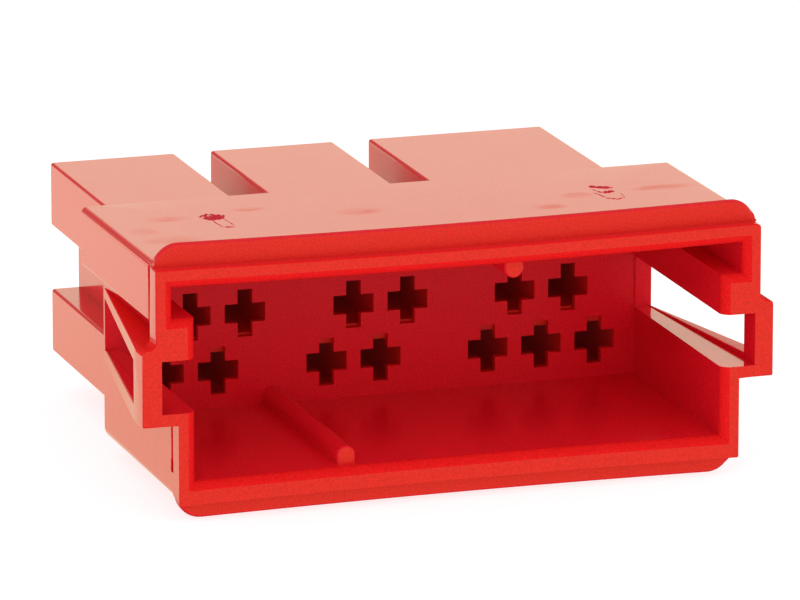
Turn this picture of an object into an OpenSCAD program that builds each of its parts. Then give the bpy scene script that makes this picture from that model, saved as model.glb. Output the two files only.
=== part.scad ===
// Shrouded connector housing moulded in one piece: three groups of contacts in three staggered
// rows, a keyed plug socket at the front with latch bows on both sides, and stepped terminal
// blocks at the rear.
// Millimetres. +X to the right, +Y to the rear, +Z up, origin under the middle of the part.

/* [Contacts] */
// Distance between neighbouring contacts in a row
pitch = 3.5; // [3.3:0.1:5]
// Distance between neighbouring rows
row_pitch = 3.53; // [3.4:0.01:5]
// How much higher the upper row sits than one such distance
upper_lift = 0.15; // [0:0.05:0.4]
// Width of a contact opening across its horizontal bar
opening_w = 2.6; // [1.6:0.1:2.8]
// Height of a contact opening along its vertical bar
opening_h = 3.0; // [2:0.1:3.1]
// Width of the vertical bar of a contact opening
slot_w = 0.95; // [0.5:0.05:1.4]
// Height of the horizontal bar of a contact opening
bar_h = 1.2; // [0.6:0.05:1.8]
// Height of a terminal chamber behind its opening
chamber_h = 3.0; // [2.4:0.1:3.4]

/* [Socket] */
// Depth of the plug socket from its mouth to the contact wall
socket_depth = 15.8; // [10:0.1:24]
// Room from the outer contact column to the side wall
side_room = 2.67; // [2:0.01:5]
// Room from the upper row to the ceiling
top_room = 2.54; // [2:0.01:5]
// Room from the lower row to the floor
bottom_room = 2.36; // [2:0.01:5]
// How much each wall opens out towards the mouth
draft = 0.25; // [0.05:0.05:0.5]
// Rounding of the inner edge of the mouth
lead_in = 0.2; // [0.1:0.05:0.4]
// How far the upper part of the socket is wider on each side
shelf_w = 1.36; // [0.8:0.02:2.5]
// Height of the shelf above the middle row
shelf_z = 4.06; // [3.6:0.02:4.6]
// Thickness of the contact wall between the terminal blocks
contact_wall = 0.5; // [0.5:0.1:2]

/* [Shroud] */
// Thickness of the side walls at the contact wall
side_wall = 1.06; // [0.9:0.02:2]
// Thickness of the roof and the floor at the contact wall
roof_wall = 1.44; // [1:0.02:2.5]
// Height of the lower edge of the wide upper part, above the middle row
step_z = 3.8; // [3.4:0.02:4.4]
// Height of the slope that leads from that edge down to the narrow part
haunch_h = 1.1; // [0.8:0.05:1.3]
// Radius of the long outer edges at the roof
edge_r = 0.5; // [0.3:0.05:0.6]
// Radius of the long outer edges at the floor
floor_r = 0.85; // [0.3:0.05:1]
// Thickness of the mouth rim above and below the socket
rim_wall = 1.12; // [0.8:0.02:1.6]
// How far the rim stands out in front of the stop flanges
rim_out = 0.8; // [0.5:0.05:1.2]
// How far a stop flange stands out from the roof or the floor
flange_h = 1.08; // [0.4:0.02:2]
// Corner radius of a flange as a share of its full height
flange_round = 0.88; // [0.4:0.02:0.9]
// How far a flange stays back from the side walls
flange_inset = 0.1; // [0.05:0.01:0.3]
// Thickness of a stop flange from front to back
flange_t = 0.6; // [0.4:0.1:3]
// Distance of the fine groove in the side walls from the mouth
groove_at = 1.27; // [1:0.01:3]
// Width of that groove
groove_w = 0.26; // [0.1:0.02:0.5]
// Depth of that groove
groove_d = 0.12; // [0.05:0.01:0.3]
// Height of the notch at the groove's lower end, above the rim's lower edge
notch_rise = 1.45; // [0.8:0.05:2]

/* [Latch bows] */
// Height of the window sill below the middle row
sill_z = 1.62; // [1:0.02:2.2]
// Height of the window lintel above the middle row
lintel_z = 1.64; // [1:0.02:2.2]
// How far a bow stands out from the side wall
bow_out = 2.2; // [1.4:0.05:3.5]
// Width of the bow's front strap
strap_w = 1.2; // [0.7:0.05:1.3]
// Thickness of the front strap from front to back
strap_t = 1.9; // [1.2:0.1:3]
// Thickness of the plates that join the strap to the wall
gusset_t = 0.75; // [0.5:0.05:1]
// Height of the raised edge along the slanted side of each plate, at the strap
ridge_h = 0.32; // [0.1:0.02:0.6]
// Distance of the window's rear edge from the contact wall
jamb_gap = 0.1; // [0.1:0.05:1]

/* [Terminal blocks] */
// Length of the blocks behind the contact wall
block_len = 16.93; // [8:0.1:25]
// Height of each of the three tiers
tier_h = 4.09; // [3.8:0.01:5]
// Height of the middle tier's centre above the middle row
tier_lift = 0.12; // [0:0.01:0.3]
// Wall around the chambers of a block, beyond one pitch per chamber
block_wall = 0.585; // [0.3:0.01:1]

/* [Gate marks] */
// Half the distance between the two gate marks
gate_x = 12.4; // [6:0.1:15]
// How far both marks sit to the right of the middle
gate_shift = 0.3; // [-1:0.05:1]
// Distance from the contact wall to the rear end of a mark
gate_y = 4.6; // [2:0.1:8]
// Length of a mark
gate_len = 4.3; // [2:0.1:5]
// Depth of a mark at its rear end
gate_depth = 0.25; // [0.1:0.05:0.4]
// Radius across a mark
gate_r = 1.0; // [0.8:0.1:2]

/* [Coding ribs] */
// Width of a half-round rib in the socket
rib_w = 1.2; // [0.8:0.05:1.6]
// Height of a rib from the wall that carries it
rib_h = 1.15; // [0.9:0.05:1.6]
// Distance from the mouth to the front end of a rib
rib_setback = 0.9; // [0.4:0.1:4]

/* [Hidden] */
$fn = 48;

// Contact layout: chambers in the upper and lower rows of each group, and in every middle row.
group_cells = [2, 2, 3];
middle_cells = 2;
first_column = -4;
group_step = 3;
rows = [-1, 0, 1];
// Ribs stand between the groups: column and wall (-1 floor, 1 ceiling).
ribs = [[-2, -1], [1.03, 1]];
lap = 0.05;
lead_steps = 4;

columns_half = -first_column;
mouth_y = -socket_depth;
flange_y = mouth_y + rim_out;
cavity_w = columns_half * pitch + side_room;
cavity_top = row_pitch + top_room;
cavity_bottom = -row_pitch - bottom_room;
lower_w = cavity_w + side_wall;
upper_w = lower_w + shelf_w;
roof_z = cavity_top + roof_wall;
floor_z = cavity_bottom - roof_wall;
strap_top = lintel_z + gusset_t;
strap_bottom = -sill_z - gusset_t;
strap_x = lower_w + bow_out;
bow_rear_y = -jamb_gap;
bow_bend_y = mouth_y + strap_t;
base_z = floor_z - flange_h;
flange_r = flange_round * (roof_wall / 2 + flange_h);
rim_rear_y = mouth_y + max(groove_at, rim_out + lap);
rim_top = cavity_top + rim_wall;
rim_bottom = cavity_bottom - rim_wall;
strap_fillet = strap_x - upper_w;

function middle_row(row) = row == 0;
function cells_in(group, row) = middle_row(row) ? middle_cells : group_cells[group];
function column_of(group, row, cell) =
    first_column + group_step * group + cell + (middle_row(row) ? 0.5 : 0);
function row_z(row) = row * row_pitch + (row > 0 ? upper_lift : 0);
function tier_z(row) = tier_lift + row * tier_h;

// One side of a pocket that opens out towards the mouth and ends in a rounded edge.
function pocket_side(half) = concat(
    [[half, 0]],
    [for (i = [0 : lead_steps])
        let (a = 90 * i / lead_steps)
        [half + draft + lead_in * (1 - cos(a)), mouth_y + lead_in * (1 - sin(a))]],
    [[half + draft + lead_in, mouth_y - lap]]);
function mirrored(side) = [for (i = [len(side) - 1 : -1 : 0]) [-side[i][0], side[i][1]]];

// Solid between two planes across Y, from an outline in X and Z.
module along_y(y0, y1) {
    translate([0, y1, 0])
        rotate([90, 0, 0])
            linear_extrude(y1 - y0)
                children();
}

// Solid between two planes across X, from an outline in Z and Y.
module along_x(half) {
    translate([-half, 0, 0])
        rotate([0, 90, 0])
            linear_extrude(2 * half)
                children();
}

// Outline in X and Z with rounded upper and lower corners.
module rounded_outline(half, z0, z1, r_top, r_bottom) {
    translate([-half, z0 + r_bottom])
        square([2 * half, z1 - z0 - r_top - r_bottom]);
    translate([-half + r_top, z1 - r_top - lap])
        square([2 * (half - r_top), r_top + lap]);
    translate([-half + r_bottom, z0])
        square([2 * (half - r_bottom), r_bottom + lap]);
    for (s = [-1, 1]) {
        translate([s * (half - r_top), z1 - r_top])
            circle(r_top);
        translate([s * (half - r_bottom), z0 + r_bottom])
            circle(r_bottom);
    }
}

// Space of one height in the socket, drafted and rounded at the mouth on all four sides.
module pocket(half, z0, z1) {
    side = pocket_side(half);
    rise = pocket_side((z1 - z0) / 2);
    middle_z = (z0 + z1) / 2;
    intersection() {
        translate([0, 0, z0 - side_wall])
            linear_extrude(z1 - z0 + 2 * side_wall)
                polygon(concat(side, mirrored(side)));
        translate([0, 0, middle_z])
            along_x(half + side_wall)
                polygon(concat(rise, mirrored(rise)));
    }
}

module plug_socket() {
    pocket(cavity_w, cavity_bottom, cavity_top);
    pocket(cavity_w + shelf_w, shelf_z, cavity_top);
}

// Wide upper part of the shell with the slopes that carry it on the narrow part.
module upper_outline() {
    rounded_outline(upper_w, step_z, roof_z, edge_r, edge_r / 4);
    polygon([
        [-lower_w, step_z - haunch_h], [lower_w, step_z - haunch_h],
        [upper_w - edge_r / 4, step_z], [upper_w - edge_r / 4, step_z + edge_r / 4],
        [-upper_w + edge_r / 4, step_z + edge_r / 4], [-upper_w + edge_r / 4, step_z]]);
}

// Shell behind the flanges: narrow below the step, wide above it.
module shroud() {
    along_y(flange_y, contact_wall) {
        rounded_outline(lower_w, floor_z, roof_z - edge_r, edge_r, floor_r);
        upper_outline();
    }
}

// Raised bars over the roof and under the floor at the front of the shell.
module stop_flanges() {
    along_y(flange_y, flange_y + flange_t) {
        rounded_outline(upper_w - flange_inset, roof_z - roof_wall / 2, roof_z + flange_h, flange_r, lap);
        rounded_outline(lower_w - flange_inset, base_z, floor_z + roof_wall / 2, lap, flange_r);
    }
}

// Outline of a concave corner: a square of the radius without its outer quarter circle.
module fillet_outline(r) {
    difference() {
        translate([-lap, -lap])
            square(r + lap);
        translate([r, r])
            circle(r);
    }
}

module mouth_rim() {
    along_y(mouth_y, rim_rear_y) {
        translate([-upper_w, strap_top - lap])
            square([2 * upper_w, rim_top - strap_top + lap]);
        translate([-lower_w, rim_bottom])
            square([2 * lower_w, strap_top - rim_bottom]);
        if (strap_fillet > 2 * lap)
            for (s = [0, 1])
                mirror([s, 0])
                    translate([upper_w, strap_top])
                        fillet_outline(strap_fillet);
    }
}

// Fine groove across one side wall, above and below the bow, with a small notch at its lower end.
module side_groove() {
    groove_y = mouth_y + groove_at;
    notch_h = 3 * groove_w;
    notch_z = rim_bottom + notch_rise;
    translate([upper_w - groove_d, groove_y, strap_top])
        cube([groove_d + lap, groove_w, roof_z - edge_r / 2 - strap_top]);
    translate([lower_w - groove_d, groove_y, notch_z])
        cube([groove_d + lap, groove_w, strap_bottom - notch_z]);
    translate([lower_w - 2 * groove_d, groove_y - groove_w / 2, notch_z])
        cube([2 * groove_d + lap, 2 * groove_w, notch_h]);
}

// Shallow scoop that the moulding gate leaves in the roof, deepest at its rear end.
module gate_mark() {
    slope = atan(gate_depth / gate_len);
    translate([0, -gate_y, roof_z - gate_depth + gate_r])
        rotate([90 - slope, 0, 0])
            cylinder(r = gate_r, h = 2 * gate_len);
}

// Strap in front of the window and the two slanted plates that carry it.
module latch_bow() {
    translate([0, 0, strap_bottom])
        linear_extrude(strap_top - strap_bottom)
            polygon([
                [cavity_w, bow_rear_y], [lower_w, bow_rear_y], [strap_x, bow_bend_y],
                [strap_x, mouth_y], [cavity_w, mouth_y]]);
}

// Room inside a bow and the window that leaves the strap free.
module latch_window() {
    translate([0, 0, -sill_z])
        linear_extrude(sill_z + lintel_z)
            polygon([
                [cavity_w - side_wall, bow_rear_y], [lower_w - strap_w / 2, bow_rear_y],
                [strap_x - strap_w, bow_bend_y], [strap_x - strap_w, mouth_y - lap],
                [cavity_w - side_wall, mouth_y - lap]]);
    translate([cavity_w - side_wall, 0, 0])
        rotate([90, 0, 90])
            linear_extrude(bow_out + 2 * side_wall + lap)
                polygon([
                    [bow_rear_y, lap - sill_z], [bow_rear_y, lintel_z - lap],
                    [bow_bend_y, lintel_z - ridge_h], [bow_bend_y, ridge_h - sill_z]]);
}

// Three tiers behind each contact group, the middle one shifted by half a pitch.
module terminal_blocks() {
    for (group = [0 : len(group_cells) - 1], row = rows) {
        cells = cells_in(group, row);
        left = (column_of(group, row, 0) - 0.5) * pitch - block_wall;
        translate([left, 0, tier_z(row) - tier_h / 2])
            cube([cells * pitch + 2 * block_wall, block_len, tier_h]);
    }
}

// Cross-shaped opening in the contact wall.
module contact_opening() {
    translate([-slot_w / 2, -lap, -opening_h / 2])
        cube([slot_w, contact_wall + 2 * lap, opening_h]);
    translate([-opening_w / 2, -lap, -bar_h / 2])
        cube([opening_w, contact_wall + 2 * lap, bar_h]);
}

// Terminal chamber that opens at the rear of a block.
module terminal_chamber() {
    translate([-opening_w / 2, contact_wall, -chamber_h / 2])
        cube([opening_w, block_len - contact_wall + lap, chamber_h]);
}

module contact_passages() {
    for (group = [0 : len(group_cells) - 1], row = rows)
        for (cell = [0 : cells_in(group, row) - 1])
            translate([column_of(group, row, cell) * pitch, 0, 0]) {
                translate([0, 0, row_z(row)])
                    contact_opening();
                translate([0, 0, tier_z(row)])
                    terminal_chamber();
            }
}

// Half-round rib along the floor or the ceiling that only lets the right plug in.
module coding_rib(column, wall) {
    wall_z = wall > 0 ? cavity_top + draft : cavity_bottom - draft;
    top_z = wall > 0 ? cavity_top : cavity_bottom;
    axis_z = top_z - wall * (rib_h - rib_w / 2);
    translate([column * pitch, 0, 0]) {
        along_y(mouth_y + rib_setback, lap) {
            translate([0, axis_z])
                circle(rib_w / 2);
            translate([-rib_w / 2, min(axis_z, wall_z + wall * lap)])
                square([rib_w, abs(wall_z + wall * lap - axis_z)]);
        }
    }
}

module housing() {
    color("#e0301f")
    translate([0, (socket_depth - block_len) / 2, -base_z]) {
        difference() {
            union() {
                difference() {
                    union() {
                        shroud();
                        mouth_rim();
                    }
                    for (s = [0, 1])
                        mirror([s, 0, 0])
                            side_groove();
                    for (s = [-1, 1])
                        translate([gate_shift + s * gate_x, 0, 0])
                            gate_mark();
                }
                stop_flanges();
                terminal_blocks();
                for (s = [0, 1])
                    mirror([s, 0, 0])
                        latch_bow();
            }
            plug_socket();
            contact_passages();
            for (s = [0, 1])
                mirror([s, 0, 0])
                    latch_window();
        }
        for (rib = ribs)
            coding_rib(rib[0], rib[1]);
    }
}

housing();
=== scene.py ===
"""Studio picture of an empty red connector housing, moulded in one piece."""

import math
import random

import bmesh
import bpy
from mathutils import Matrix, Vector
from mathutils.bvhtree import BVHTree


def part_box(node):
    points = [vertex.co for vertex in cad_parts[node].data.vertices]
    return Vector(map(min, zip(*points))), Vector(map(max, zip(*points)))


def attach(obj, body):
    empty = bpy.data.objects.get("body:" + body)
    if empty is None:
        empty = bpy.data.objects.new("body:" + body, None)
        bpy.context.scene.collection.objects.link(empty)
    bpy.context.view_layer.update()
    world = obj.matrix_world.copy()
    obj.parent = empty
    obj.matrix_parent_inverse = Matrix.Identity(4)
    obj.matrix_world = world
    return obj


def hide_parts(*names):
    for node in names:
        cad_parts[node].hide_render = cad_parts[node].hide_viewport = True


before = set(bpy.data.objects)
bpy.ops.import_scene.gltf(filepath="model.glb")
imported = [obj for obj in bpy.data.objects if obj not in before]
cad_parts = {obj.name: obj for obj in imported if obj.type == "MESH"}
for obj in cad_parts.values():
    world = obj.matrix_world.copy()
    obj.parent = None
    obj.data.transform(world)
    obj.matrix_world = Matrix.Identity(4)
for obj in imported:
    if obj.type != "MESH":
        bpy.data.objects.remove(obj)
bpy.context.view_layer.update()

MM = 0.001
housing_low, housing_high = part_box("housing")


# Node helpers


def band(tree, value, start, end):
    """0 below the start and 1 above the end, or the other way round if the start is higher."""
    share = tree.nodes.new("ShaderNodeMapRange")
    share.interpolation_type = "SMOOTHSTEP"
    share.inputs["From Min"].default_value = min(start, end)
    share.inputs["From Max"].default_value = max(start, end)
    share.inputs["To Min"].default_value = 0.0 if start < end else 1.0
    share.inputs["To Max"].default_value = 1.0 if start < end else 0.0
    tree.links.new(value, share.inputs["Value"])
    return share.outputs["Result"]


def joined(tree, operation, first, *others):
    """All the values in one, by the same Math operation."""
    for other in others:
        node = tree.nodes.new("ShaderNodeMath")
        node.operation = operation
        tree.links.new(first, node.inputs[0])
        tree.links.new(other, node.inputs[1])
        first = node.outputs[0]
    return first


def blended(tree, share, first, second):
    mix = tree.nodes.new("ShaderNodeMix")
    mix.data_type = "RGBA"
    if isinstance(first, tuple):
        mix.inputs["A"].default_value = first
    else:
        tree.links.new(first, mix.inputs["A"])
    mix.inputs["B"].default_value = second
    tree.links.new(share, mix.inputs["Factor"])
    return mix.outputs["Result"]


# Camera

CAMERA_AT = Vector((-145.519, -448.167, 128.502)) * MM
CAMERA_LOOKS = Vector((0.30195, 0.92077, -0.24700))
CAMERA_LENS = 354.10
SENSOR_WIDTH = 36.0
NEAREST_SEEN = 0.02
FARTHEST_SEEN = 20.0


def add_camera():
    lens = bpy.data.cameras.new("studio_camera")
    lens.lens = CAMERA_LENS
    lens.sensor_fit = "HORIZONTAL"
    lens.sensor_width = SENSOR_WIDTH
    lens.clip_start = NEAREST_SEEN
    lens.clip_end = FARTHEST_SEEN
    camera = bpy.data.objects.new("studio_camera", lens)
    camera.location = CAMERA_AT
    camera.rotation_euler = CAMERA_LOOKS.to_track_quat("-Z", "Y").to_euler()
    bpy.context.scene.collection.objects.link(camera)
    bpy.context.scene.camera = camera


# Light and stage

WHITE = (1.0, 1.0, 1.0, 1.0)
AMBIENT = 0.88
SOFTBOX_AT = Vector((-0.15, -1.0, 0.9))
SOFTBOX_SIZE = 1.6
SOFTBOX_BRIGHTNESS = 0.27
PAPER_GREY = (0.40, 0.40, 0.40, 1.0)
PAPER_GLOW = 0.76
FLOOR_HALF_SIZE = 3.0

# What gloss shows of the room and of the floor.
BACKDROP_WHITE = (1.0, 0.95, 0.72, 1.0)
FRONT_GLOW = (0.72, 0.67, 0.50, 1.0)
SIDE_GLOW = (0.80, 0.74, 0.58, 1.0)
ROOM_DIM = (0.22, 0.19, 0.14, 1.0)
# Gloss sees the floor in painted colours: painted shade in front of the housing, a painted shadow
# of the housing under and just behind it, and painted light further back.
FLOOR_DIM = (0.06, 0.05, 0.04, 1.0)
FLOOR_SHADED = (0.84, 0.78, 0.54, 1.0)
FLOOR_LIT = (0.98, 0.93, 0.70, 1.0)
# Where gloss finds something bright: from nothing to all of it along each axis.
BACK_WHITE = {"X": (-0.12, 0.08), "Y": (0.1, 0.5), "Z": (0.38, 0.30)}
FRONT_WHITE = {"Y": (-0.2, -0.5), "Z": (0.42, 0.22)}
LEFT_WHITE = {"X": (-0.5, -0.8), "Z": (0.42, 0.22)}
RIGHT_WHITE = {"X": (0.5, 0.8), "Z": (0.42, 0.22)}
FLOOR_NEAR = {"Y": (-0.015, -0.010)}
FLOOR_FAR = {"Y": (0.0, 0.06)}


def is_ray(tree, *kinds):
    """1 where the ray is of one of these kinds, else 0."""
    path = tree.nodes.new("ShaderNodeLightPath")
    return joined(tree, "MAXIMUM", *(path.outputs[kind] for kind in kinds))


def mirrored_room(tree, coordinate, colour, *patches):
    """What gloss shows: bright patches of limited reach in a dim room."""
    place = tree.nodes.new("ShaderNodeTexCoord")
    split = tree.nodes.new("ShaderNodeSeparateXYZ")
    tree.links.new(place.outputs[coordinate], split.inputs[0])
    for bands, bright in patches:
        reaches = [band(tree, split.outputs[axis], *reach) for axis, reach in bands.items()]
        colour = blended(tree, joined(tree, "MULTIPLY", *reaches), colour, bright)
    return colour


def choose(tree, factor, first, second):
    mix = tree.nodes.new("ShaderNodeMixShader")
    tree.links.new(factor, mix.inputs[0])
    tree.links.new(first, mix.inputs[1])
    tree.links.new(second, mix.inputs[2])
    return mix.outputs[0]


def add_studio_air():
    world = bpy.data.worlds.new("studio_air")
    bpy.context.scene.world = world
    world.use_nodes = True
    tree = world.node_tree
    tree.nodes.clear()
    ambient = tree.nodes.new("ShaderNodeBackground")
    ambient.inputs["Color"].default_value = WHITE
    ambient.inputs["Strength"].default_value = AMBIENT
    white = tree.nodes.new("ShaderNodeBackground")
    white.inputs["Color"].default_value = WHITE
    mirrored = tree.nodes.new("ShaderNodeBackground")
    room = mirrored_room(
        tree, "Generated", ROOM_DIM, (LEFT_WHITE, SIDE_GLOW), (RIGHT_WHITE, SIDE_GLOW),
        (BACK_WHITE, BACKDROP_WHITE), (FRONT_WHITE, FRONT_GLOW))
    tree.links.new(room, mirrored.inputs["Color"])
    lit = choose(
        tree, is_ray(tree, "Is Glossy Ray", "Is Transmission Ray"),
        ambient.outputs[0], mirrored.outputs[0])
    seen = choose(tree, is_ray(tree, "Is Camera Ray"), lit, white.outputs[0])
    out = tree.nodes.new("ShaderNodeOutputWorld")
    tree.links.new(seen, out.inputs["Surface"])


def add_softbox():
    """A large soft lamp in front of the housing, aimed at its middle."""
    lamp = bpy.data.lights.new("front_softbox", "AREA")
    lamp.shape = "SQUARE"
    lamp.size = SOFTBOX_SIZE
    lamp.energy = SOFTBOX_BRIGHTNESS * math.pi * SOFTBOX_SIZE * SOFTBOX_SIZE
    softbox = bpy.data.objects.new("front_softbox", lamp)
    softbox.location = SOFTBOX_AT
    middle = (housing_low + housing_high) / 2
    softbox.rotation_euler = (middle - SOFTBOX_AT).to_track_quat("-Z", "Y").to_euler()
    softbox.visible_camera = False
    softbox.visible_glossy = False
    bpy.context.scene.collection.objects.link(softbox)


def floor_paper():
    """White paper that keeps the shadow; gloss sees it in painted colours instead: painted shade
    in front of the housing, a painted shadow under it and painted light further back.
    """
    paper = bpy.data.materials.new("white_paper")
    paper.use_nodes = True
    tree = paper.node_tree
    tree.nodes.clear()
    sheet = tree.nodes.new("ShaderNodeBsdfDiffuse")
    sheet.inputs["Color"].default_value = PAPER_GREY
    glow = tree.nodes.new("ShaderNodeEmission")
    glow.inputs["Color"].default_value = WHITE
    glow.inputs["Strength"].default_value = PAPER_GLOW
    lifted = tree.nodes.new("ShaderNodeAddShader")
    tree.links.new(sheet.outputs[0], lifted.inputs[0])
    tree.links.new(glow.outputs[0], lifted.inputs[1])
    mirrored = tree.nodes.new("ShaderNodeEmission")
    room = mirrored_room(
        tree, "Object", FLOOR_DIM, (FLOOR_NEAR, FLOOR_SHADED), (FLOOR_FAR, FLOOR_LIT))
    tree.links.new(room, mirrored.inputs["Color"])
    seen = choose(
        tree, is_ray(tree, "Is Glossy Ray", "Is Transmission Ray"),
        lifted.outputs[0], mirrored.outputs[0])
    out = tree.nodes.new("ShaderNodeOutputMaterial")
    tree.links.new(seen, out.inputs["Surface"])
    return paper


def add_floor():
    mesh = bpy.data.meshes.new("studio_floor")
    plane = bmesh.new()
    bmesh.ops.create_grid(plane, x_segments=1, y_segments=1, size=FLOOR_HALF_SIZE)
    plane.to_mesh(mesh)
    plane.free()
    floor = bpy.data.objects.new("studio_floor", mesh)
    bpy.context.scene.collection.objects.link(floor)
    mesh.materials.append(floor_paper())


# Red plastic

RED_DEEP = (0.72, 0.007, 0.019, 1.0)
RED_BRIGHT = (0.86, 0.011, 0.023, 1.0)
RED_SCUFFED = (0.80, 0.014, 0.016, 1.0)
RED_TORN = (0.58, 0.007, 0.034, 1.0)
ORANGE_RED_DEEP = (0.72, 0.008, 0.009, 1.0)
ORANGE_RED_BRIGHT = (0.86, 0.012, 0.012, 1.0)
CLEAR_GLOSS = (1.0, 1.0, 1.0, 1.0)
WARM_GLOSS = (1.0, 0.92, 0.50, 1.0)
PLASTIC_IOR = 1.5

# How fine each kind of grain is, and how high it stands, in metres.
SPECKLE_SCALE = 9000
HAZE_SCALE = 420
SWELL_SCALE = 160
STREAK_SCALE = 1100
TEAR_SCALE = 5200
SKIN_RELIEF = 1.6e-6
TEAR_RELIEF = 2.0e-5

# Rubbed patches on the roof: middle and half size, in millimetres.
ROOF_SCUFFS = [
    ((-17.3, -7.8), (1.1, 1.2)), ((-16.2, -10.4), (2.2, 1.3)), ((-15.1, -5.1), (1.7, 0.9)),
    ((-9.6, -4.1), (1.5, 0.7)), ((-3.3, -6.6), (1.8, 1.2)), ((8.1, -9.1), (1.4, 0.9)),
    ((16.2, -6.6), (2.6, 0.9)), ((10.6, -6.9), (1.4, 1.0))]
SCUFF_HALF_DEPTH = 0.8
STREAK_STRETCH = (0.35, 1.0, 1.0)
SCUFF_DULLNESS = 0.22
SCUFF_RELIEF = 1.6
SCUFF_COAT = 0.2


def grain(tree, spot, scale, detail):
    cloud = tree.nodes.new("ShaderNodeTexNoise")
    cloud.inputs["Scale"].default_value = scale
    cloud.inputs["Detail"].default_value = detail
    tree.links.new(spot, cloud.inputs["Vector"])
    return cloud.outputs[0]


def from_to(tree, share, low, high):
    scale = tree.nodes.new("ShaderNodeMapRange")
    scale.inputs["To Min"].default_value = low
    scale.inputs["To Max"].default_value = high
    tree.links.new(share, scale.inputs["Value"])
    return scale.outputs["Result"]


def roof_scuffs(tree, spot):
    """Streaky patches where the roof was handled, 1 at their middles."""
    patches = []
    for (x, y), (half_x, half_y) in ROOF_SCUFFS:
        place = tree.nodes.new("ShaderNodeMapping")
        place.vector_type = "TEXTURE"
        place.inputs["Location"].default_value = Vector((x, y, ROOF_Z)) * MM
        place.inputs["Scale"].default_value = Vector((half_x, half_y, SCUFF_HALF_DEPTH)) * MM
        fade = tree.nodes.new("ShaderNodeTexGradient")
        fade.gradient_type = "SPHERICAL"
        tree.links.new(spot, place.inputs["Vector"])
        tree.links.new(place.outputs[0], fade.inputs["Vector"])
        patches.append(fade.outputs["Fac"])
    stretch = tree.nodes.new("ShaderNodeMapping")
    stretch.inputs["Scale"].default_value = STREAK_STRETCH
    tree.links.new(spot, stretch.inputs["Vector"])
    streaks = band(tree, grain(tree, stretch.outputs[0], STREAK_SCALE, 5.0), 0.36, 0.62)
    rubbed = band(tree, joined(tree, "MAXIMUM", *patches), 0.0, 0.6)
    return joined(tree, "MULTIPLY", rubbed, from_to(tree, streaks, 0.45, 1.0))


def red_plastic(name, colours, roughness, coat=0.0, shine=0.5, tint=CLEAR_GLOSS, scuffed=False):
    """Red plastic with fine colour grain, a faintly uneven skin and, if asked, a scuffed roof."""
    deep, bright = colours
    smooth, rough = roughness
    plastic = bpy.data.materials.new(name)
    plastic.use_nodes = True
    tree = plastic.node_tree
    spot = tree.nodes.new("ShaderNodeTexCoord").outputs["Object"]
    speckle = grain(tree, spot, SPECKLE_SCALE, 2.0)
    colour = blended(tree, band(tree, speckle, 0.36, 0.64), deep, bright)
    dullness = from_to(tree, grain(tree, spot, HAZE_SCALE, 3.0), smooth, rough)
    swell = from_to(tree, grain(tree, spot, SWELL_SCALE, 1.0), 0.6, 1.4)
    height = joined(tree, "MULTIPLY", speckle, swell)
    if scuffed:
        scuffs = roof_scuffs(tree, spot)
        colour = blended(tree, scuffs, colour, RED_SCUFFED)
        dullness = joined(tree, "MAXIMUM", dullness, from_to(tree, scuffs, 0.0, SCUFF_DULLNESS))
        height = joined(tree, "MULTIPLY", height, from_to(tree, scuffs, 1.0, SCUFF_RELIEF))
    relief = tree.nodes.new("ShaderNodeBump")
    relief.inputs["Strength"].default_value = 1.0
    relief.inputs["Distance"].default_value = SKIN_RELIEF
    tree.links.new(height, relief.inputs["Height"])
    skin = tree.nodes["Principled BSDF"]
    skin.inputs["IOR"].default_value = PLASTIC_IOR
    skin.inputs["Specular IOR Level"].default_value = shine
    skin.inputs["Specular Tint"].default_value = tint
    tree.links.new(colour, skin.inputs["Base Color"])
    tree.links.new(dullness, skin.inputs["Roughness"])
    tree.links.new(relief.outputs[0], skin.inputs["Normal"])
    if scuffed:
        coating = from_to(tree, scuffs, coat, SCUFF_COAT * coat)
        tree.links.new(coating, skin.inputs["Coat Weight"])
    else:
        skin.inputs["Coat Weight"].default_value = coat
    if coat:
        skin.inputs["Coat Roughness"].default_value = smooth
        skin.inputs["Coat IOR"].default_value = PLASTIC_IOR
        tree.links.new(relief.outputs[0], skin.inputs["Coat Normal"])
    return plastic


def torn_plastic():
    """Rough, dark red where the gate was broken off."""
    plastic = bpy.data.materials.new("torn_red_plastic")
    plastic.use_nodes = True
    tree = plastic.node_tree
    spot = tree.nodes.new("ShaderNodeTexCoord").outputs["Object"]
    tears = grain(tree, spot, TEAR_SCALE, 3.0)
    skin = tree.nodes["Principled BSDF"]
    skin.inputs["IOR"].default_value = PLASTIC_IOR
    colour = blended(tree, band(tree, tears, 0.35, 0.7), RED_TORN, RED_DEEP)
    tree.links.new(colour, skin.inputs["Base Color"])
    tree.links.new(from_to(tree, tears, 0.45, 0.75), skin.inputs["Roughness"])
    relief = tree.nodes.new("ShaderNodeBump")
    relief.inputs["Distance"].default_value = TEAR_RELIEF
    tree.links.new(tears, relief.inputs["Height"])
    tree.links.new(relief.outputs[0], skin.inputs["Normal"])
    return plastic


# Housing

# Places and sizes on the moulding in millimetres.
MOUTH_Y = -16.365
FLANGE_FRONT_Y = -15.565
FLANGE_BACK_Y = -14.965
WALL_FRONT_Y = -0.565
SHELL_BACK_Y = -0.065
BLOCK_BACK_Y = 16.365
FLOOR_Z = 1.08
ROOF_Z = 15.92
SIDE_X = 17.73
WIDE_X = 19.095
STEP_Z = 12.30
SOCKET_EDGE_X = 17.12
POCKET_EDGE_X = 18.48
CEILING_EDGE_Z = 14.93
SHELF_EDGE_Z = 12.02
SOCKET_FLOOR_EDGE_Z = 2.07
RIB_END_Y = -15.465
LEDGE_Z = 15.60
RIM_SIDE_X = 19.09
STRAP_X = 19.93
STRAP_TOP_Z = 10.80
SILL_Z = 6.79
LINTEL_Z = 10.05
RIM_BOTTOM_Z = 1.40
WINDOW_BACK_Y = -0.665
BOW_ROOT_X = 17.13
STRAP_BACK = 1.3
STRAP_FILLET_TOP_Z = 11.66
ROOF_SIDE_RADIUS = 0.55
GATE_MARKS_X = (-12.1, 12.7)
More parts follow.
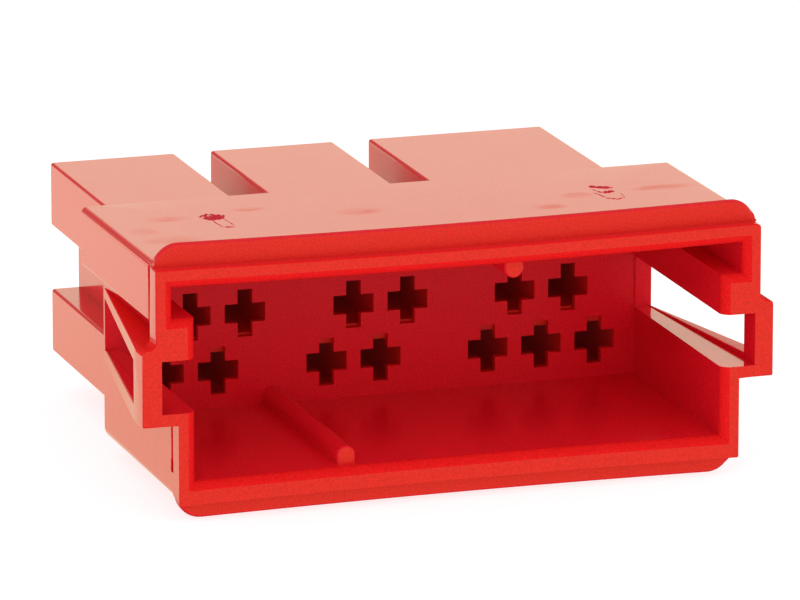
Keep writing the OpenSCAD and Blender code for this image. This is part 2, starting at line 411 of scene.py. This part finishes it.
GATE_MARKS_Y = (-10.2, -4.9)
GATE_MARK_HALF_WIDTH = 1.0
GATE_MARK_DEPTH = 0.3
MID_HEIGHT = 8.0
RIBS_WITHIN_X = 8.0
CEILING_RIB_X = (2.8, 4.4)
FLOOR_RIB_X = (-7.8, -6.2)
SOCKET_FLOOR_Z = (2.2, 2.6)
SOCKET_CEILING_Z = (14.4, 14.8)
STEP_ROUNDING_X = (18.9, 19.11)
STEP_ROUNDING_Z = (12.2, 12.345)
SHELL_OUTER_X = 17.3
SHELL_OUTER_Z = (2.2, 15.0)

# Radii of the rounded edges in millimetres.
LEDGE_FILL = 0.55
SHOULDER_ROUND = 0.35
RIM_CORNER_ROUND = 0.30
SHELL_BACK_ROUND = 0.36
FLANGE_ROUND = 0.28
BLOCK_ROUND = 0.20
BLOCK_END_ROUND = 0.15
RIB_END_ROUND = 0.20
RIM_ROUND = 0.12
BOW_ROUND = 0.10
WIDEST_ROUND = LEDGE_FILL
ROUND_STEPS = 3
LEDGE_LENGTH = 10.0
FLANGE_PROUD = 0.35

SEAM_WELD = 0.04
FLAT = math.radians(0.7)
CREASE = math.radians(28)
SOFT = math.radians(40)


def near(value, place):
    return abs(value - place) < 0.02


def between(value, limits):
    return limits[0] < value < limits[1]


def edge_round(edge):
    """Radius that the mould gives an edge, 0 where the edge stays crisp."""
    if not edge.is_manifold or edge.calc_face_angle() < CREASE:
        return 0.0
    start, end = (corner.co / MM for corner in edge.verts)
    middle = (start + end) / 2
    length = (start - end).length
    along_y = near(start.x, end.x) and near(start.z, end.z)

    def lies_at(y):
        return near(start.y, y) and near(end.y, y)

    if not edge.is_convex:
        ledge = lies_at(FLANGE_FRONT_Y) and near(middle.z, LEDGE_Z) and length > LEDGE_LENGTH
        return LEDGE_FILL if ledge else 0.0
    if lies_at(RIB_END_Y):
        return RIB_END_ROUND
    if lies_at(SHELL_BACK_Y):
        outer = not between(middle.z, SHELL_OUTER_Z) or abs(middle.x) > SHELL_OUTER_X
        return SHELL_BACK_ROUND if outer else 0.0
    if lies_at(FLANGE_FRONT_Y) or lies_at(FLANGE_BACK_Y):
        stands_out = not between(middle.z, (FLOOR_Z - FLANGE_PROUD, ROOF_Z + FLANGE_PROUD))
        return FLANGE_ROUND if stands_out else 0.0
    if lies_at(BLOCK_BACK_Y):
        return BLOCK_END_ROUND
    if along_y and max(start.y, end.y) > BLOCK_BACK_Y - 0.1 and min(start.y, end.y) < 0.1:
        return BLOCK_ROUND
    if lies_at(MOUTH_Y):
        inner = abs(middle.x) < POCKET_EDGE_X + 0.1 and 2.0 < middle.z < CEILING_EDGE_Z + 0.1
        faces_up = near(middle.z, SHELF_EDGE_Z) or middle.z < 2.3
        return RIM_ROUND if middle.z > RIM_BOTTOM_Z and (faces_up or not inner) else 0.0
    if along_y and near(abs(middle.x), RIM_SIDE_X) and near(middle.z, LEDGE_Z):
        return RIM_CORNER_ROUND
    if along_y and near(abs(middle.x), STRAP_X) and near(middle.z, STRAP_TOP_Z):
        return SHOULDER_ROUND
    if abs(middle.x) > SHELL_OUTER_X and length > 1.0:
        return BOW_ROUND
    return 0.0


def weld_step_rounding(bm):
    """The fine rounding under the wide part becomes one edge, which is then rounded anew."""
    rows = {}
    for corner in bm.verts:
        x, y, z = corner.co / MM
        if between(abs(x), STEP_ROUNDING_X) and between(z, STEP_ROUNDING_Z):
            rows.setdefault((x > 0, round(y, 2)), []).append(corner)
    for (right, _), row in rows.items():
        if len(row) > 1:
            spot = Vector((WIDE_X if right else -WIDE_X, row[0].co.y / MM, STEP_Z)) * MM
            bmesh.ops.pointmerge(bm, verts=row, merge_co=spot)


# How the mouth's inner edges open out, and other fine moves, in millimetres.
LEAD_IN = 0.2
LEAD_SIZE = 0.5
LEAD_FLAT = 0.5
LEVEL_BY = 0.3
RIM_BOTTOM_DROP = 0.32
BOW_ROOT_THINNER = 0.42
STRAP_FILLET = 0.5
ROOF_SIDE_ROUND = 0.8
GATE_SHALLOWER = 0.07


def opened(value, edge, run):
    """A coordinate on the rounding of a mouth edge, on a wider and flatter rounding instead."""
    reach = abs(value - edge) / LEAD_IN
    if reach > 1.05:
        return value
    flatter = reach + (run - reach) / 2 * LEAD_FLAT
    return edge + math.copysign(LEAD_SIZE * flatter, value - edge)


def lead_in(side, y, z):
    """The point of a mouth edge after the edge opens out on all its sides."""
    run = (y - MOUTH_Y) / LEAD_IN
    reach = max(
        (share for share in (
            abs(side - SOCKET_EDGE_X) / LEAD_IN, abs(side - POCKET_EDGE_X) / LEAD_IN,
            abs(z - CEILING_EDGE_Z) / LEAD_IN, abs(z - SHELF_EDGE_Z) / LEAD_IN,
            abs(z - SOCKET_FLOOR_EDGE_Z) / LEAD_IN) if share < 1.05), default=run)
    depth = LEAD_SIZE * (run + (reach - run) / 2 * LEAD_FLAT)
    for edge in (SOCKET_EDGE_X, POCKET_EDGE_X):
        side = opened(side, edge, run)
    for edge in (CEILING_EDGE_Z, SHELF_EDGE_Z, SOCKET_FLOOR_EDGE_Z):
        z = opened(z, edge, run)
    return side, MOUTH_Y + depth, z


def on_socket_floor_or_ceiling(side, y, z):
    level = between(z, SOCKET_FLOOR_Z) or between(z, SOCKET_CEILING_Z)
    return level and y < WALL_FRONT_Y + 0.01 and side < RIBS_WITHIN_X


def on_strap_top(side, depth, z):
    """Whether a point is on the top of a strap or on the fillet between strap and rim."""
    sideways = RIM_SIDE_X - 0.02 < side < STRAP_X + 0.01
    return sideways and depth < STRAP_BACK and STRAP_TOP_Z - 0.01 < z < STRAP_FILLET_TOP_Z


def on_roof_side(side, y, z):
    """Whether a point is on the rounding along the roof's side, behind the flange."""
    rounded = side > WIDE_X - ROOF_SIDE_RADIUS and ROOF_Z - ROOF_SIDE_RADIUS < z < ROOF_Z + 0.01
    return rounded and y > FLANGE_BACK_Y - 0.1


def in_gate_mark(x, y, z):
    sunk = z > ROOF_Z - GATE_MARK_DEPTH and between(y, GATE_MARKS_Y)
    return sunk and any(abs(x - mark) < GATE_MARK_HALF_WIDTH for mark in GATE_MARKS_X)


def fine_shape(x, y, z):
    """The same point of the moulding after the small moves that the mould shows up close."""
    depth = y - MOUTH_Y
    side = abs(x)
    if near(z, RIM_BOTTOM_Z) and depth < 0.01:
        z -= RIM_BOTTOM_DROP
    elif depth < LEAD_IN + 0.01 and side < POCKET_EDGE_X + 0.01:
        side, y, z = lead_in(side, y, z)
    elif on_socket_floor_or_ceiling(side, y, z):
        share = 1.0 - (depth - LEAD_IN) / (WALL_FRONT_Y - MOUTH_Y - LEAD_IN)
        z += math.copysign(LEVEL_BY * share, MID_HEIGHT - z)
    elif near(y, WINDOW_BACK_Y) and near(side, BOW_ROOT_X) and SILL_Z - 0.1 < z < LINTEL_Z + 0.1:
        side += BOW_ROOT_THINNER
    elif on_strap_top(side, depth, z):
        side = RIM_SIDE_X + STRAP_FILLET * (side - RIM_SIDE_X) if side < STRAP_X - 0.01 else side
        z = STRAP_TOP_Z + STRAP_FILLET * (z - STRAP_TOP_Z)
    elif on_roof_side(side, y, z):
        side = WIDE_X - ROOF_SIDE_ROUND * (WIDE_X - side)
        z = ROOF_Z - ROOF_SIDE_ROUND * (ROOF_Z - z)
    elif in_gate_mark(x, y, z):
        z = ROOF_Z - GATE_SHALLOWER * (ROOF_Z - z)
    return Vector((math.copysign(side, x), y, z))


def merged_copy():
    """A clean copy of the solid's mesh, with the fine moves made."""
    bm = bmesh.new()
    bm.from_mesh(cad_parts["housing"].data)
    bmesh.ops.remove_doubles(bm, verts=bm.verts, dist=SEAM_WELD * MM)
    bmesh.ops.dissolve_degenerate(bm, edges=bm.edges, dist=1e-6)
    bmesh.ops.dissolve_limit(bm, angle_limit=FLAT, verts=bm.verts, edges=bm.edges)
    weld_step_rounding(bm)
    bmesh.ops.dissolve_degenerate(bm, edges=bm.edges, dist=1e-6)
    bmesh.ops.dissolve_limit(bm, angle_limit=FLAT, verts=bm.verts, edges=bm.edges)
    for corner in bm.verts:
        corner.co = fine_shape(*(corner.co / MM)) * MM
    return bm


def with_rounded_edges(bm):
    """A new mesh in which each edge has its own radius."""
    weight = bm.edges.layers.float.new("bevel_weight_edge")
    for edge in bm.edges:
        edge[weight] = edge_round(edge) / WIDEST_ROUND
    rough = bpy.data.meshes.new("sharp_moulding")
    bm.to_mesh(rough)
    bm.free()
    holder = bpy.data.objects.new("sharp_moulding", rough)
    bpy.context.scene.collection.objects.link(holder)
    rounding = holder.modifiers.new("rounding", "BEVEL")
    rounding.width = WIDEST_ROUND * MM
    rounding.segments = ROUND_STEPS
    rounding.profile = 0.5
    rounding.limit_method = "WEIGHT"
    rounding.use_clamp_overlap = False
    rounding.loop_slide = False
    ready = holder.evaluated_get(bpy.context.evaluated_depsgraph_get())
    mesh = bpy.data.meshes.new_from_object(ready)
    mesh.name = "housing_moulding"
    if "custom_normal" in mesh.attributes:
        mesh.attributes.remove(mesh.attributes["custom_normal"])
    bpy.data.objects.remove(holder)
    bpy.data.meshes.remove(rough)
    return mesh


# How far the long walls draw in at the middle of the mouth, in millimetres.
ROOF_BOW = 0.16
FLOOR_BOW = 0.17
SILL_BOW = 0.15
SILL_DROP = 0.12
ROOF_BACK_DROP = 0.075
BOW_SLICE = 2.0
# Which heights belong to which wall.
ROOF_ABOVE_Z = 15.3
UNDERSIDE_BELOW_Z = 1.55
CEILING_ABOVE_Z = 14.3
CEILING_RIB_ABOVE_Z = 13.0
SOCKET_FLOOR_BELOW_Z = 2.7
FLOOR_RIB_BELOW_Z = 3.9


def wall_shift(x, y, z):
    """How far a point on the roof or the floor of the shroud moves up, in millimetres."""
    if y > SHELL_BACK_Y + 0.01:
        return 0.0
    middle = max(0.0, 1.0 - (x / SIDE_X) ** 2)
    front = min(1.0, (SHELL_BACK_Y - y) / (SHELL_BACK_Y - MOUTH_Y))
    if z > ROOF_ABOVE_Z:
        return -ROOF_BOW * middle * front - ROOF_BACK_DROP * (1.0 - front)
    if z < UNDERSIDE_BELOW_Z:
        return FLOOR_BOW * middle * front
    if y > WALL_FRONT_Y - 0.01:
        return 0.0
    if z > CEILING_ABOVE_Z or (z > CEILING_RIB_ABOVE_Z and between(x, CEILING_RIB_X)):
        return -ROOF_BOW * middle * front
    if z < SOCKET_FLOOR_BELOW_Z or (z < FLOOR_RIB_BELOW_Z and between(x, FLOOR_RIB_X)):
        return (SILL_BOW * middle - SILL_DROP) * front
    return 0.0


def in_long_wall(face):
    """Whether a face of the shroud lies wholly in its roof or its floor, ribs included."""
    heights = [corner.co.z / MM for corner in face.verts]
    level = min(heights) > CEILING_RIB_ABOVE_Z or max(heights) < FLOOR_RIB_BELOW_Z
    return level and face.calc_center_median().y / MM < SHELL_BACK_Y


def bow_long_walls(mesh):
    """The roof and the floor are sliced across, and the slices are moved in."""
    bm = bmesh.new()
    bm.from_mesh(mesh)
    cuts = int(2 * SIDE_X / BOW_SLICE)
    for i in range(cuts + 1):
        x = (i - cuts / 2) * BOW_SLICE
        walls = [face for face in bm.faces if in_long_wall(face)]
        edges = {edge for face in walls for edge in face.edges}
        corners = {corner for face in walls for corner in face.verts}
        bmesh.ops.bisect_plane(
            bm, geom=list(corners) + list(edges) + walls, dist=0.05 * MM,
            plane_co=(x * MM, 0.0, 0.0), plane_no=(1.0, 0.0, 0.0))
    for corner in bm.verts:
        corner.co.z += wall_shift(*(corner.co / MM)) * MM
    bm.to_mesh(mesh)
    bm.free()


# A face in a chamber meets a wall on all four sides within this reach, in millimetres.
CHAMBER_REACH = 4.0
AROUND = (Vector((1, 0, 0)), Vector((-1, 0, 0)), Vector((0, 0, 1)), Vector((0, 0, -1)))
POLISHED, SMOOTH, GRAINED, MATT, SATIN = range(5)
# The room inside the socket, its shelves and the windows.
SOCKET_INSIDE_X = 17.3
SOCKET_INSIDE_Z = (1.8, 15.05)
SHELF_INSIDE_X = 18.5
SHELF_INSIDE_Z = (12.3, 15.05)
WINDOW_INSIDE_X = 18.8


def meets_wall(solid, start, way):
    return solid.ray_cast(start, way, CHAMBER_REACH * MM)[0] is not None


def lies_inside(x, y, z, normal):
    """Whether a place on the moulding is in the socket or in a window, the sills apart."""
    side = abs(x)
    if y < MOUTH_Y + 0.02 or near(z, SILL_Z) and normal.z > 0.9:
        return False
    socket = side < SOCKET_INSIDE_X and between(z, SOCKET_INSIDE_Z)
    shelf = side < SHELF_INSIDE_X and between(z, SHELF_INSIDE_Z)
    window = side < WINDOW_INSIDE_X and SILL_Z - 0.1 < z < LINTEL_Z + 0.1
    return socket or shelf or window


def finish_of(centre, normal, solid):
    """Grained in front and in the chambers, satin between blocks, matt on lead-in and strap tops.

    The socket and the windows are smooth, and all the rest is polished.
    """
    x, y, z = centre / MM
    if y > WALL_FRONT_Y + 0.1:
        start = centre + normal * 0.1 * MM
        if all(meets_wall(solid, start, way) for way in AROUND):
            return GRAINED
        return SATIN if abs(normal.x) > 0.9 and meets_wall(solid, start, normal) else POLISHED
    if normal.y < -0.95 and y < RIB_END_Y + 0.1:
        return GRAINED
    lead = normal.y < -0.1 and y < MOUTH_Y + LEAD_SIZE and abs(x) < POCKET_EDGE_X + LEAD_SIZE
    strap_top = abs(x) > SIDE_X - 0.1 and normal.z > 0.12 and LINTEL_Z < z < STEP_Z
    if lead or strap_top:
        return MATT
    return SMOOTH if lies_inside(x, y, z, normal) else POLISHED


def give_finishes(mesh):
    """The mesh gets the finishes in the order of their numbers, and each face gets its own."""
    mesh.materials.clear()
    reds = (RED_DEEP, RED_BRIGHT)
    oranges = (ORANGE_RED_DEEP, ORANGE_RED_BRIGHT)
    for finish in (
            red_plastic("polished_red_plastic", reds, (0.10, 0.20), coat=0.6, scuffed=True),
            red_plastic("smooth_red_plastic", reds, (0.16, 0.26), shine=0.22),
            red_plastic("grained_red_plastic", oranges, (0.42, 0.56), shine=0.42, tint=WARM_GLOSS),
            red_plastic("matt_red_plastic", oranges, (0.50, 0.60), shine=0.03),
            red_plastic("satin_red_plastic", reds, (0.24, 0.34), shine=0.62)):
        mesh.materials.append(finish)
    bm = bmesh.new()
    bm.from_mesh(mesh)
    solid = BVHTree.FromBMesh(bm)
    for face in bm.faces:
        face.material_index = finish_of(face.calc_center_median(), face.normal, solid)
    bm.to_mesh(mesh)
    bm.free()


def add_housing():
    mesh = with_rounded_edges(merged_copy())
    bow_long_walls(mesh)
    give_finishes(mesh)
    mesh.shade_smooth()
    mesh.set_sharp_from_angle(angle=SOFT)
    piece = bpy.data.objects.new("housing_moulding", mesh)
    bpy.context.scene.collection.objects.link(piece)
    even = piece.modifiers.new("even_shading", "WEIGHTED_NORMAL")
    even.keep_sharp = True
    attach(piece, "root")
    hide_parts("housing")


# Gate scars

# Torn ridges of each scar and the worn ones around them: start, end, half width and height, in
# millimetres.
LEFT_TORN = [
    ((-13.04, -5.15), (-12.55, -4.80), 0.11, 0.07), ((-12.80, -4.85), (-12.05, -4.70), 0.18, 0.11),
    ((-12.20, -4.68), (-11.45, -5.40), 0.16, 0.11), ((-12.75, -5.20), (-11.75, -5.40), 0.32, 0.07),
    ((-12.90, -5.50), (-12.40, -6.00), 0.16, 0.07), ((-12.60, -5.98), (-11.62, -5.72), 0.16, 0.09),
    ((-12.50, -5.60), (-11.80, -5.65), 0.26, 0.06)]
LEFT_WORN = [
    ((-12.52, -6.15), (-12.36, -8.10), 0.10, 0.04), ((-11.74, -5.90), (-11.60, -7.90), 0.09, 0.04),
    ((-12.28, -7.98), (-11.68, -8.15), 0.11, 0.05)]
RIGHT_TORN = [
    ((12.02, -4.92), (13.30, -5.77), 0.17, 0.11), ((11.95, -5.80), (12.25, -6.68), 0.11, 0.05),
    ((12.08, -6.62), (13.08, -6.63), 0.12, 0.07)]
RIGHT_WORN = [
    ((11.80, -6.50), (12.10, -8.25), 0.09, 0.04), ((12.02, -8.15), (12.68, -8.70), 0.11, 0.04),
    ((12.58, -8.68), (13.20, -8.36), 0.11, 0.04), ((13.16, -8.45), (13.28, -7.20), 0.08, 0.03)]
SCAR_STEPS = 9
SCAR_ROOT = 0.12
SCAR_TIP = 0.04


def scar_ridge(bm, start, end, half_width, height, finish, chance):
    """One closed ragged ridge that is rooted in the roof, drawn out from a three-cornered face."""
    start, end = Vector(start), Vector(end)
    along = (end - start).normalized()
    across = Vector((-along.y, along.x))
    tip = None
    for i in range(SCAR_STEPS + 1):
        share = i / SCAR_STEPS
        body = math.sin(math.pi * min(max(share, SCAR_TIP), 1.0 - SCAR_TIP)) ** 0.5
        spot = start.lerp(end, share) + across * chance.uniform(-0.35, 0.35) * half_width
        wide = half_width * body * chance.uniform(0.6, 1.25)
        tall = height * body * chance.uniform(0.25, 1.2)
        lean = chance.uniform(-0.4, 0.4) * wide
        roof = ROOF_Z + wall_shift(spot.x, spot.y, ROOF_Z)
        section = [
            Vector((*(spot + across * out), roof + up)) * MM
            for out, up in ((-wide, -SCAR_ROOT), (wide, -SCAR_ROOT), (lean, tall))]
        if tip is None:
            tip = bm.faces.new([bm.verts.new(corner) for corner in section])
            tip.material_index = finish
            continue
        drawn = bmesh.ops.extrude_face_region(bm, geom=[tip, *tip.edges])["geom"]
        tip = next(part for part in drawn if isinstance(part, bmesh.types.BMFace))
        for corner, place in zip(tip.verts, section):
            corner.co = place


def add_gate_scar(name, ridges_by_finish, finishes, seed):
    chance = random.Random(seed)
    bm = bmesh.new()
    for finish, ridges in enumerate(ridges_by_finish):
        for start, end, half_width, height in ridges:
            scar_ridge(bm, start, end, half_width, height, finish, chance)
    bmesh.ops.recalc_face_normals(bm, faces=bm.faces)
    mesh = bpy.data.meshes.new(name)
    bm.to_mesh(mesh)
    bm.free()
    for finish in finishes:
        mesh.materials.append(finish)
    scar = bpy.data.objects.new(name, mesh)
    bpy.context.scene.collection.objects.link(scar)
    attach(scar, "root")


def add_gate_scars():
    worn_plastic = red_plastic("worn_red_plastic", (RED_DEEP, RED_BRIGHT), (0.30, 0.42), shine=0.5)
    finishes = (torn_plastic(), worn_plastic)
    add_gate_scar("left_gate_scar", (LEFT_TORN, LEFT_WORN), finishes, 5)
    add_gate_scar("right_gate_scar", (RIGHT_TORN, RIGHT_WORN), finishes, 8)


add_camera()
add_studio_air()
add_floor()
add_softbox()
add_housing()
add_gate_scars()

bpy.context.scene.view_settings.view_transform = "Standard"
bpy.context.view_layer.update()
